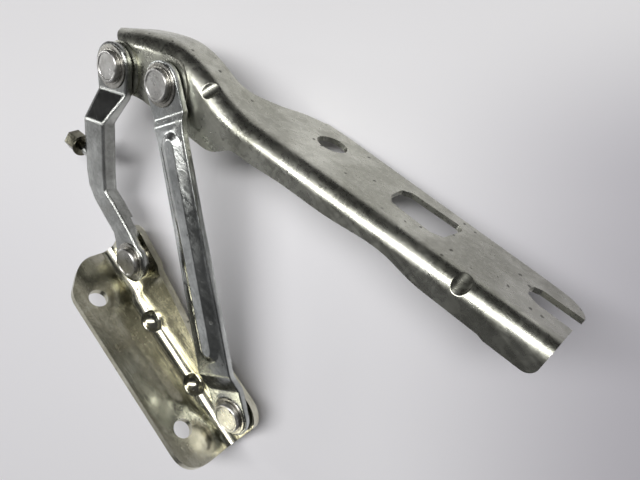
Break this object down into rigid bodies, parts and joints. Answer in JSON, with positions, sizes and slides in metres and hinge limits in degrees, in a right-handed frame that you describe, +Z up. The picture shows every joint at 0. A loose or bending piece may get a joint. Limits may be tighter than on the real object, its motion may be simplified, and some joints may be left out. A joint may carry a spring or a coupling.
{
  "type": "four-bar hood hinge",
  "caption": "Lid hinge of pressed sheet steel: a long flanged arm carried over a folded base bracket on cranked links, pivoting on flat-headed shouldered rivets.",
  "frame": {"origin": "midway between the two body bolt holes, on the underside of the base flange", "axes": "+X along the base flange from the short link's pivot to the long link's, +Z up from the base flange towards the lid arm, rivet heads face -Y"},
  "size_m": [0.2175, 0.0837, 0.1586],
  "materials": {
    "plated_sheet": "zinc plated, faint olive-yellow tone, satin",
    "link_sheet": "zinc plated, satin",
    "rivet_steel": "zinc plated, matt heads",
    "bush_steel": "darker, lightly greased",
    "stud_steel": "dark olive passivated"
  },
  "bodies": {
    "base": {"body_bracket": "plated_sheet", "pivot_rivet_c": "rivet_steel", "pivot_rivet_d": "rivet_steel", "shim_washer_c": "bush_steel", "shim_washer_d": "bush_steel", "spacer_washer_c": "bush_steel", "spacer_washer_d": "bush_steel"},
    "long_link_body": {"long_link": "link_sheet", "flanged_bush_b": "bush_steel", "flanged_bush_d": "bush_steel"},
    "hood_arm_body": {"hood_arm": "plated_sheet", "pivot_rivet_a": "rivet_steel", "pivot_rivet_b": "rivet_steel", "shim_washer_a": "bush_steel", "shim_washer_b": "bush_steel", "spacer_washer_a": "bush_steel", "spacer_washer_b": "bush_steel", "collar_washer_a": "bush_steel"},
    "short_link_body": {"short_link": "link_sheet", "flanged_bush_c": "bush_steel", "stop_stud": "stud_steel", "stop_washer": "stud_steel", "stop_nut": "stud_steel"}
  },
  "joints": [
    {"name": "long_link_pivot", "type": "hinge", "parent": "base", "child": "long_link_body", "pos_m": [0.0446, 0.0155, 0.0177], "axis": [0, -1, 0], "range_deg": [-14.1, 14.5]},
    {"name": "hood_arm_pivot", "type": "hinge", "parent": "long_link_body", "child": "hood_arm_body", "pos_m": [-0.0819, 0.0239, 0.0949], "axis": [0, -1, 0], "range_deg": [-25.64, 24.93]},
    {"name": "short_link_pivot", "type": "hinge", "parent": "base", "child": "short_link_body", "pos_m": [-0.0421, 0.0155, 0.0201], "axis": [0, -1, 0], "range_deg": [-21.99, 22.61]}
  ],
  "couplings": [
    {"joint": "hood_arm_pivot", "follows": "long_link_pivot", "ratio": -1.7646},
    {"joint": "short_link_pivot", "follows": "long_link_pivot", "ratio": 1.556}
  ]
}
